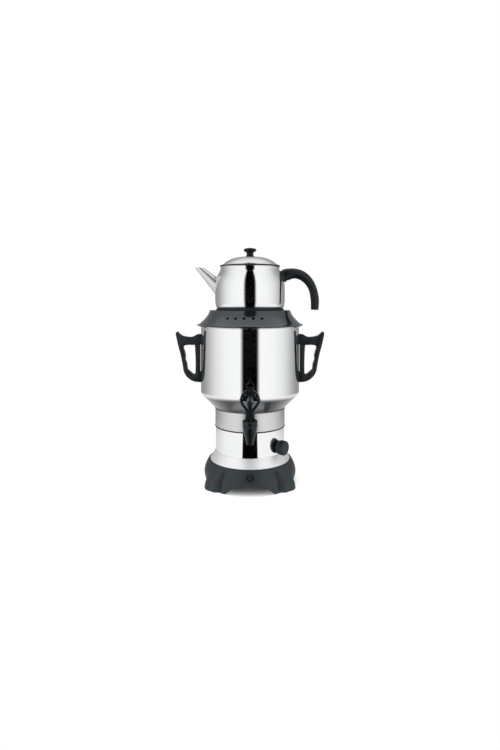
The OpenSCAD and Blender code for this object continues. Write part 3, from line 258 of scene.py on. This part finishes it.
finish_of_slot = {
    "base_plastic": grained_pp, "black_plastic": satin_phenolic, "tap_plastic": tap_acetal,
    "gloss_plastic": gloss_phenolic, "switch_plastic": switch_nylon, "white_plastic": steatite,
    "rubber": rubber_and_shadow_black, "lead_insulation": lead_sleeve, "polished_steel": mirror_steel,
    "satin_steel": brushed_steel, "element_steel": heater_steel, "fastener_steel": zinc_coat,
}
finish_of_node = {
    "power_button": grained_pp, "base_skirt": soft_steel, "teapot_lid": lid_steel,
    "teapot_spout": brushed_steel, "lid_knob": deep_phenolic,
}
slot_of = {part["node"]: part["material_slot"] for part in frame["record"]["subparts"]}


def finish_for(node):
    return finish_of_node.get(node, finish_of_slot[slot_of[node]])


for name, obj in nodes.items():
    if obj.material_slots:
        for slot in obj.material_slots:
            slot.link = "OBJECT"
            slot.material = finish_for(name)
    else:
        obj.data.materials.append(finish_for(name))


# ---- helpers for new pieces

FLAT_TURN = 0.5  # degrees between faces that count as one flat face
EDGE_TURN = 35  # degrees at which an edge counts as sharp and is rounded
EDGE_STEPS = 2


def smooth(share):
    """Eased step from 0 to 1."""
    share = min(1, max(0, share))
    return share * share * (3 - 2 * share)


def hump(distance, width):
    """Bell curve of height 1."""
    return math.exp(-(distance / width) ** 2)


def quarter(steps=4):
    """Sine and cosine of the angles from 0 to 90 degrees, to round an edge with."""
    for k in range(steps + 1):
        a = math.radians(90 * k / steps)
        yield math.sin(a), math.cos(a)


def picked(piece):
    """Selects one object alone and makes it the active one."""
    bpy.ops.object.select_all(action="DESELECT")
    piece.select_set(True)
    bpy.context.view_layer.objects.active = piece


def modified(piece, kind, **settings):
    """Adds a modifier and applies it."""
    picked(piece)
    modifier = piece.modifiers.new(kind.lower(), kind)
    for name, value in settings.items():
        setattr(modifier, name, value)
    bpy.ops.object.modifier_apply(modifier=modifier.name)


def finished(piece, node, finish, *replaced, crease=32):
    """Common end of every piece: shading, finish, the body of its node, and what it stands for."""
    picked(piece)
    bpy.ops.object.shade_smooth_by_angle(angle=math.radians(crease))
    piece.data.materials.clear()
    piece.data.materials.append(finish)
    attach(piece, body_of[node])
    if replaced:
        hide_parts(*replaced)
    return piece


def softened(node, width):
    """Copy of a CAD node with its sharp edges rounded to a width in mm."""
    piece = bpy.data.objects.new(node + "_soft", nodes[node].data.copy())
    bpy.context.scene.collection.objects.link(piece)
    picked(piece)
    bpy.ops.object.mode_set(mode="EDIT")
    bpy.ops.mesh.select_all(action="SELECT")
    bpy.ops.mesh.remove_doubles(threshold=MERGE_MM * MM)
    bpy.ops.mesh.dissolve_limited(angle_limit=math.radians(FLAT_TURN))
    bpy.ops.object.mode_set(mode="OBJECT")
    modified(piece, "BEVEL", width=width * MM, segments=EDGE_STEPS, limit_method="ANGLE",
             angle_limit=math.radians(EDGE_TURN), use_clamp_overlap=True)
    return finished(piece, node, finish_for(node), node)


def wrapped(name, columns, rows, spot, closed=True):
    """Grid whose points are put by spot(u, v) in mm, u and v from 0 to 1; its seams are merged."""
    bpy.ops.object.select_all(action="DESELECT")
    bpy.ops.mesh.primitive_grid_add(x_subdivisions=columns, y_subdivisions=rows, size=2)
    piece = bpy.context.active_object
    piece.name = piece.data.name = name
    for point in piece.data.vertices:
        u = round((point.co.x + 1) / 2 * columns) / columns
        v = round((point.co.y + 1) / 2 * rows) / rows
        point.co = [value * MM for value in spot(u, v)]
    bpy.ops.object.mode_set(mode="EDIT")
    bpy.ops.mesh.select_all(action="SELECT")
    bpy.ops.mesh.remove_doubles(threshold=MERGE_MM * MM)
    if closed:
        bpy.ops.mesh.normals_make_consistent(inside=False)
    bpy.ops.object.mode_set(mode="OBJECT")
    return piece


def along(points, share):
    """Point at a share of the way along a polyline, each stretch counting alike."""
    place = min(share, 1) * (len(points) - 1)
    step = min(int(place + 1e-6), len(points) - 2)
    return [a + (b - a) * (place - step) for a, b in zip(points[step], points[step + 1])]


# ---- foot: a moulded belly with four soft lobes and an arch on each side

skirt_low, skirt_high = in_mm(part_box("base_skirt"))
skirt_r = skirt_high[0]
rim_cover = 0.5  # how far the rim reaches up over the skirt's foot
foot_top = skirt_low[2] + rim_cover
belly_r = in_mm(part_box("base_shell"))[1][0]
belly_z = 20  # height of the widest place
belly_low_share = 0.4  # how much slower it narrows below that
rim_gap = 0.4
rim_wall = 1.8
rim_deep = 3
rim_edge = 0.8
rim_r = skirt_r + rim_gap + rim_wall
inner_r = 71.1
under_flat = 6  # first stretch of the underside, from the inner edge outwards
foot_low = 0.3
foot_edge = 1
foot_columns = 480
foot_rows = 34

arch_h = 23
arch_half = 48
arch_r = (arch_half ** 2 + arch_h ** 2) / (2 * arch_h)
arch_far = 0.97 * arch_r  # the curve isn't followed further than this
arch_ease = 5

# The lobes: turns are in degrees from the front or rear, the rest is in mm
lobe_top = 0.97 * foot_top
lobe_grow = 0.6 * foot_top
lobe_turn, lobe_ease = 32, 8
crease_turn, crease_lean, crease_ease = 61.5, 0.22, 2.2
swell_low = 2
bank_h, bank_turn, bank_ease = 7, 38.5, 8
back_h, back_turn, back_ease = 4.2, 46, 13
dip_deep, dip_before, dip_width, dip_ease = 1.6, 7, 3, 16
groove_deep, groove_turn, groove_lean, groove_width = 4.4, 41.5, 0.15, 2.2
groove_top, groove_top_ease = 46, 8
groove_low, groove_low_ease = -2, 12


def belly(z):
    """Radius of the foot between its lobes; it narrows faster towards the rim than to the floor."""
    share = (z - belly_z) / (foot_top - belly_z)
    return belly_r - (belly_r - rim_r) * share * share * (1 if share > 0 else belly_low_share)


def foot_radius(turn, z):
    """Outer radius of the foot at a turn, 0 to 90 degrees from the front or rear."""
    grown = min(1, max(0, (lobe_top - z) / lobe_grow))
    crease = crease_turn - crease_lean * z
    lobe = smooth((turn - lobe_turn) / lobe_ease) * (1 - smooth((turn - crease) / crease_ease))
    swell = bank_h * smooth((turn - bank_turn) / bank_ease)
    swell += back_h * smooth((turn - back_turn) / back_ease) - swell_low
    swell -= dip_deep * hump(turn - crease + dip_before, dip_width) * smooth(z / dip_ease)
    groove = groove_deep * hump(turn - groove_turn + groove_lean * z, groove_width)
    groove *= smooth((groove_top - z) / groove_top_ease)
    groove *= smooth((z - groove_low) / groove_low_ease)
    shape = belly(max(z, belly_z)) * lobe + belly(z) * (1 - lobe)
    return shape + swell * lobe * grown - groove


def foot_under(turn):
    """Lower edge of the foot at a turn: the arch, eased into the floor line."""
    across = belly_r * min(math.sin(math.radians(turn)), math.cos(math.radians(turn)))
    arch = arch_h - arch_r + math.sqrt(arch_r ** 2 - min(across, arch_far) ** 2)
    blend = max(0, 1 - abs(arch - foot_low) / arch_ease)
    return max(arch, foot_low) + blend * blend * arch_ease / 4


def foot_outline(turn):
    """Closed outline of the foot's wall at a turn, from its inner edge outwards and round."""
    low = foot_under(turn)
    outline = [(inner_r, low), (inner_r + under_flat, low)]
    base_r = foot_radius(turn, low + foot_edge) - foot_edge
    outline += [(base_r + foot_edge * s, low + foot_edge - foot_edge * c) for s, c in quarter()]
    for k in range(1, foot_rows):
        z = low + foot_edge + (foot_top - rim_edge - low - foot_edge) * k / foot_rows
        outline.append((foot_radius(turn, z), z))
    top_r = foot_radius(turn, foot_top) - rim_edge
    outline += [(top_r + rim_edge * c, foot_top - rim_edge + rim_edge * s) for s, c in quarter()]
    return outline + [(rim_r - rim_wall, foot_top), (rim_r - rim_wall, foot_top - rim_deep),
                      (inner_r, foot_top - rim_deep), (inner_r, low)]


def foot_spot(u, v):
    angle = 360 * u
    r, z = along(foot_outline(90 - abs(angle % 180 - 90)), v)
    a = math.radians(angle)
    return (r * math.sin(a), -r * math.cos(a), z)


foot = wrapped("foot", foot_columns, len(foot_outline(0)) - 1, foot_spot)

# Hole for the button, bored through the front wall
button_hole_r = 6.8
button_hole_l = 50
button_hole_z = 36
button_hole_sides = 64

bpy.ops.object.select_all(action="DESELECT")
bpy.ops.mesh.primitive_cylinder_add(
    vertices=button_hole_sides, radius=button_hole_r * MM, depth=button_hole_l * MM,
    location=(0, -belly_r * MM, button_hole_z * MM), rotation=(math.radians(90), 0, 0))
hole = bpy.context.active_object
modified(foot, "BOOLEAN", operation="DIFFERENCE", solver="EXACT", object=hole)
bpy.data.objects.remove(hole)
finished(foot, "base_shell", grained_pp, "base_shell", crease=40)


# ---- power mark on the button: a ring open at the top and a bar, a little proud of the face

button_low, button_high = in_mm(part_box("power_button"))
button_z = (button_low[2] + button_high[2]) / 2
face_bulge = 0.0105  # how fast the button's face falls back from the belly's height
mark_sunk, mark_proud = -0.2, 0.25
mark_section = ((1, mark_sunk), (1, mark_proud), (-1, mark_proud), (-1, mark_sunk), (1, mark_sunk))
ring_r = 4.9
ring_half_w = 0.95
ring_start, ring_sweep, ring_steps = 140, 260, 40
bar_half_w = 0.8
bar_up, bar_step, bar_points = 5.6, 0.9, 7


def face_y(x, z):
    """Depth of the button's curved face."""
    fall = face_bulge * ((z - belly_z) ** 2 - (button_low[2] - belly_z) ** 2)
    return -math.sqrt((-button_low[1] - fall) ** 2 - x * x)


def bar(name, path, half_width):
    """Flat bar along a path of (x, z) on the button's face, closed at both ends."""
    def spot(u, v):
        step = round(u * (len(path) + 1))
        k = min(max(step - 1, 0), len(path) - 1)
        (x0, z0), (x1, z1) = path[max(k - 1, 0)], path[min(k + 1, len(path) - 1)]
        run = math.hypot(x1 - x0, z1 - z0)
        side, proud = mark_section[round(v * 4)]
        if step in (0, len(path) + 1):
            side, proud = 0, 0
        x = path[k][0] - side * half_width * (z1 - z0) / run
        z = path[k][1] + side * half_width * (x1 - x0) / run
        return (x, face_y(x, z) - proud, z)
    return finished(wrapped(name, len(path) + 1, 4, spot), "power_button", deep_phenolic)


ring_turns = [math.radians(ring_start + ring_sweep * k / ring_steps)
              for k in range(ring_steps + 1)]
bar("power_ring", [(ring_r * math.cos(a), button_z + ring_r * math.sin(a)) for a in ring_turns],
    ring_half_w)
bar("power_bar", [(0, button_z + bar_up - bar_step * k) for k in range(bar_points)], bar_half_w)


# ---- rotary knob: ribbed grip, chamfered front edge and a shallow dish in the face

knob_mid = [(low + high) / 2 for low, high in zip(*in_mm(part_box("thermostat_knob")))]
knob_turn = math.radians(39)
knob_r = 14
knob_half = 8
knob_bore_r = 3
knob_hub_r = 7
knob_hub_s = -3.9
knob_collar_r = knob_r - 1.2  # smooth collar behind the grip
knob_collar_s, knob_grip_s = -4.6, -4  # its front end, and the grip's rear end
knob_dish = 0.5
knob_columns = 240
knob_ribs = 40
rib_deep = 0.3


def knob_outline(rib):
    """Outline of the knob from bore to dish, where the grip lies rib deep: (along the shaft,
    radius)."""
    grip_r = knob_r - rib
    return [(knob_hub_s, knob_bore_r), (knob_hub_s, knob_hub_r), (-knob_half, knob_hub_r),
            (-knob_half, knob_collar_r), (knob_collar_s, knob_collar_r), (knob_grip_s, grip_r),
            (knob_half - 2.2, grip_r), (knob_half - 1.4, knob_r - 0.3 - rib),
            (knob_half - 0.4, knob_r - 1.6), (knob_half, knob_r - 2.3), (knob_half, knob_r - 4),
            (knob_half - knob_dish, knob_r - 4.6), (knob_half - knob_dish, 0)]


def knob_spot(u, v):
    a = 2 * math.pi * u
    s, r = along(knob_outline(rib_deep * (1 - math.cos(knob_ribs * a)) / 2), v)
    x = knob_mid[0] + s * math.cos(knob_turn) + r * math.sin(a) * math.sin(knob_turn)
    y = knob_mid[1] - s * math.sin(knob_turn) + r * math.sin(a) * math.cos(knob_turn)
    return (x, y, knob_mid[2] + r * math.cos(a))


knob = wrapped("knob", knob_columns, len(knob_outline(0)) - 1, knob_spot, closed=False)
finished(knob, "thermostat_knob", tap_acetal, "thermostat_knob", crease=25)


# ---- dark rings that show as dark lines: under the lid, under the collar and round the skirt they are painted shadow lines in shaded gaps; at the seam they form a rubber lip on the gasket

dark_ring_columns = 160
dark_ring_rows = 12


def dark_ring(name, node, radius, height, half_w, half_h):
    """Dark rubber ring of an oval section; three of them are painted shadow lines."""
    def spot(u, v):
        a, b = 2 * math.pi * u, 2 * math.pi * v
        r = radius + half_w * math.cos(b)
        return (r * math.cos(a), r * math.sin(a), height + half_h * math.sin(b))
    return finished(wrapped(name, dark_ring_columns, dark_ring_rows, spot), node, rubber_and_shadow_black)


tank_low, tank_high = in_mm(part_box("tank_shell"))
seam_z = sum(corner[2] for corner in in_mm(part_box("seam_gasket"))) / 2
# Painted shadow line: a dark ring where the gap between pot rim and lid is in shade
dark_ring("lid_shadow_line", "teapot_lid", radius=in_mm(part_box("teapot_lid"))[1][0],
     height=in_mm(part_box("teapot_body"))[1][2] - 0.5, half_w=1.7, half_h=1.9)
# Painted shadow line: a dark ring where the tank's rim lies in shade under the collar's lip
dark_ring("collar_shadow_line", "steam_collar", radius=103.5, height=tank_high[2] - 0.3, half_w=3, half_h=0.9)
dark_ring("seam_lip", "seam_gasket", radius=in_mm(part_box("neck_ring"))[1][0] - 1.2, height=seam_z,
     half_w=1.1, half_h=1.4)
# Painted shadow line: a dark ring where the gap between skirt and foot rim is in shade
dark_ring("skirt_shadow_line", "base_shell", radius=skirt_r + 0.2, height=foot_top + 0.1, half_w=0.8,
     half_h=0.8)


# ---- tank: one turned outline, with the cone in the spun finish, whose darker colour is partly painted shade

tank_r = 100
neck_r = 69.8
neck_floor = 8  # how far the lower edge turns inwards
cone_z = 151
cone_top_z = 178.5
cone_turn = 45
cone_fall = -0.3  # the cone's faces look down at least this much
cone_lift = 0.41  # rise of the neck's corner per mm of inset
neck_hold = 3  # height of the first stretch of the neck
hold = 2  # short stretch that keeps a corner crisp
wall = 1
crease_r = 12
crease_steps = 8
crease_z = cone_z + tank_r - neck_r + crease_r * math.tan(math.radians(cone_turn / 2))
bead_r = (tank_high[0] - tank_r) / 1.5
bead_gap = 1
tank_columns = 240


def tank_line(inset):
    """Outline of the tank's wall from the neck up to the rim, inset in mm."""
    low = cone_z + cone_lift * inset
    neck = neck_r - inset
    line = [(neck, tank_low[2] + inset), (neck, tank_low[2] + neck_hold), (neck, low - hold),
            (neck, low), (neck + hold, low + hold)]
    bend = crease_r - inset
    for k in range(crease_steps + 1):
        a = math.radians(cone_turn * (1 - k / crease_steps))
        line.append((tank_r - crease_r + bend * math.cos(a), crease_z - bend * math.sin(a)))
    return line + [(tank_r - inset, crease_z + hold),
                   (tank_r - inset, tank_high[2] - 2 * bead_r - bead_gap)]


bead_turns = [math.radians(t) for t in range(-30, 211, 30)]
bead = [(tank_r + bead_r / 2 + bead_r * math.sin(a), tank_high[2] - bead_r - bead_r * math.cos(a))
        for a in bead_turns]
lip = neck_r - neck_floor
tank_outline = [(lip, tank_low[2])] + tank_line(0) + bead + tank_line(wall)[::-1]
tank_outline += [(lip, tank_low[2] + wall), (lip, tank_low[2])]


def tank_spot(u, v):
    r, z = along(tank_outline, v)
    return (r * math.cos(2 * math.pi * u), r * math.sin(2 * math.pi * u), z)


tank = wrapped("tank", tank_columns, len(tank_outline) - 1, tank_spot)
finished(tank, "tank_shell", mirror_steel, "tank_shell")
tank.data.materials.append(spun_and_shaded_steel)
# The cone's downward faces get the darker steel: spun finish, and partly painted shade for the
# shadowed floor they reflect
for face in tank.data.polygons:
    outside = face.normal.xy.dot(face.center.xy) > 0
    if outside and face.center.z < cone_top_z * MM and face.normal.z < cone_fall:
        face.material_index = 1


# ---- CAD nodes that only want their edges rounded, with the width in mm

for node, width in (("left_handle", 2.6), ("right_handle", 2.6), ("tap_body", 0.35),
                    ("tap_spout", 0.35), ("tap_lever", 0.5), ("steam_collar", 0.5),
                    ("seat_ring", 0.6), ("lid_knob", 0.4), ("cord_gland", 0.5),
                    ("teapot_handle", 0.8)):
    softened(node, width)


# ---- studio: the world as walls, ceiling and floor paper

# Brightness from the front (0) round to the rear (1)
WALL_STOPS = [(0.0, 1.0), (0.3, 0.98), (0.42, 0.84), (0.5, 0.74), (0.6, 0.5), (0.72, 0.3),
              (1.0, 0.25)]
PAPER_STOPS = [(0.0, 0.98), (0.48, 0.93), (0.6, 0.84), (0.8, 0.66), (1.0, 0.55)]
STUDIO_STRENGTH = 1.16

world = bpy.data.worlds.new("studio")
bpy.context.scene.world = world
world.use_nodes = True
tree = world.node_tree
tree.nodes.clear()
way = add(tree, "ShaderNodeSeparateXYZ", Vector=place_of(tree, "Generated"))
from_front = maths(tree, "ARCCOSINE", maths(tree, "MULTIPLY", way.outputs["Y"], -1.0))
turn_share = maths(tree, "DIVIDE", from_front, math.pi)
rise = maths(tree, "DEGREES", maths(tree, "ARCSINE", way.outputs["Z"]))
tilt = maths(tree, "DEGREES", maths(tree, "ARCTAN2", way.outputs["Y"], way.outputs["Z"]))
# Studio walls: bright in front, greyer behind the object
walls = ramp(tree, turn_share, WALL_STOPS)
# Ceiling: a bright sheet overhead that fades towards the rear
overhead = fade(tree, tilt, 15.0, 60.0, low=0.95, high=0.6)
upper = mixed(tree, fade(tree, rise, 32.0, 56.0), walls, overhead)
# Paper on the floor: bright in front, and darker right under the object, in its shadow
paper_light = ramp(tree, turn_share, PAPER_STOPS)
lit = mixed(tree, fade(tree, rise, -13.0, -15.4), upper, paper_light)
room = mixed(tree, fade(tree, rise, -20.0, -65.0, high=0.8), lit, BLACK)
# The camera itself sees plain white paper
seen = add(tree, "ShaderNodeLightPath")
backdrop = add(tree, "ShaderNodeBackground", Color=WHITE, Strength=1.0)
studio = add(tree, "ShaderNodeBackground", Color=room, Strength=STUDIO_STRENGTH)
both = add(tree, "ShaderNodeMixShader", i0=seen.outputs["Is Camera Ray"], i1=studio.outputs[0],
           i2=backdrop.outputs[0])
add(tree, "ShaderNodeOutputWorld", Surface=both.outputs[0])


# ---- floor: pale paper that keeps the shadow near the object and fades to white further out

FLOOR_R = 6
FLOOR_SIDES = 96

bpy.ops.object.select_all(action="DESELECT")
bpy.ops.mesh.primitive_circle_add(vertices=FLOOR_SIDES, radius=FLOOR_R, fill_type="NGON",
                                  location=(0, 0, 0))
floor = bpy.context.active_object
floor.name = "floor"
floor_mat = bpy.data.materials.new("floor paper")
floor_mat.use_nodes = True
tree = floor_mat.node_tree
tree.nodes.clear()
away = add(tree, "ShaderNodeVectorMath", {"operation": "LENGTH"}, i0=place_of(tree))
away = away.outputs["Value"]
seen = add(tree, "ShaderNodeLightPath")
# The shadow's outer part is lifted a little, for the camera alone
lift = maths(tree, "MULTIPLY", seen.outputs["Is Camera Ray"],
             fade(tree, away, 0.055, 0.1, high=0.35))
matt = add(tree, "ShaderNodeBsdfDiffuse", Color=linear("fbfbfb"))
glow = add(tree, "ShaderNodeEmission", Color=WHITE, Strength=lift)
lifted = add(tree, "ShaderNodeAddShader", i0=matt.outputs[0], i1=glow.outputs[0])
white = add(tree, "ShaderNodeEmission", Color=WHITE, Strength=1.0)
near = add(tree, "ShaderNodeMixShader", i0=fade(tree, away, 0.092, 0.15), i1=lifted.outputs[0],
           i2=white.outputs[0])
# Mirror faces look past the floor, to the studio's own paper
clear = add(tree, "ShaderNodeBsdfTransparent")
seen_past = maths(tree, "MAXIMUM", seen.outputs["Is Glossy Ray"],
                  seen.outputs["Is Transmission Ray"])
paper = add(tree, "ShaderNodeMixShader", i0=seen_past, i1=near.outputs[0], i2=clear.outputs[0])
add(tree, "ShaderNodeOutputMaterial", Surface=paper.outputs[0])
floor.data.materials.append(floor_mat)


# ---- black cards: they give the steel its dark stripe

def black_card(name, corners, spread, start, end):
    """Black card for the mirror faces alone; it fades out where spread(tree, place) nears end."""
    sheet = bpy.data.meshes.new(name)
    sheet.from_pydata(corners, [], [(0, 1, 2, 3)])
    card = bpy.data.objects.new(name, sheet)
    bpy.context.scene.collection.objects.link(card)
    for ray in ("camera", "diffuse", "shadow", "transmission", "volume_scatter"):
        setattr(card, "visible_" + ray, False)
    mat = bpy.data.materials.new(name)
    mat.use_nodes = True
    tree = mat.node_tree
    tree.nodes.clear()
    place = add(tree, "ShaderNodeSeparateXYZ", Vector=place_of(tree))
    cloth = add(tree, "ShaderNodeBsdfDiffuse", Color=BLACK)
    past = add(tree, "ShaderNodeBsdfTransparent")
    both = add(tree, "ShaderNodeMixShader", i0=fade(tree, spread(tree, place), start, end),
               i1=cloth.outputs[0], i2=past.outputs[0])
    add(tree, "ShaderNodeOutputMaterial", Surface=both.outputs[0])
    sheet.materials.append(mat)


def sideways(tree, place):
    """Distance from the middle plane."""
    return maths(tree, "ABSOLUTE", place.outputs["X"])


def fanned(tree, place):
    """Slant from the middle plane, as seen from the object's axis."""
    return maths(tree, "ABSOLUTE", maths(tree, "DIVIDE", place.outputs["X"], place.outputs["Y"]))


card_x, card_y, card_h = 0.3, -0.5, 1.4
black_card("black card", [(-card_x, card_y, 0), (card_x, card_y, 0), (card_x, card_y, card_h),
                          (-card_x, card_y, card_h)], sideways, 0.115, 0.2)
far_x, far_y, near_x, near_y = 0.4, -0.55, 0.15, -0.2
black_card("black card foot", [(-far_x, far_y, 0), (far_x, far_y, 0), (near_x, near_y, 0),
                               (-near_x, near_y, 0)], fanned, 0.38, 0.44)


# ---- lamp and camera

LAMP_AIM = (0, 0, 0.2)

lamp = bpy.data.lights.new("softbox", "AREA")
lamp.shape = "RECTANGLE"
lamp.size = 1.6
lamp.size_y = 1.2
lamp.energy = 11
lamp_obj = bpy.data.objects.new("softbox", lamp)
bpy.context.scene.collection.objects.link(lamp_obj)
lamp_obj.visible_glossy = False
lamp_obj.location = (-0.6, -0.8, 1.9)
lamp_way = Vector(LAMP_AIM) - lamp_obj.location
lamp_obj.rotation_euler = lamp_way.to_track_quat("-Z", "Y").to_euler()

# Fitted to the photograph: level, and shifted down in the frame
camera_data = bpy.data.cameras.new("camera")
camera_data.sensor_width = 36
camera_data.lens = 23.86
camera_data.shift_y = -0.0993
camera = bpy.data.objects.new("camera", camera_data)
bpy.context.scene.collection.objects.link(camera)
camera.location = (0, -1.02, 0.368)
camera.rotation_euler = (math.radians(90), 0, 0)
bpy.context.scene.camera = camera
bpy.context.scene.view_settings.view_transform = "Standard"
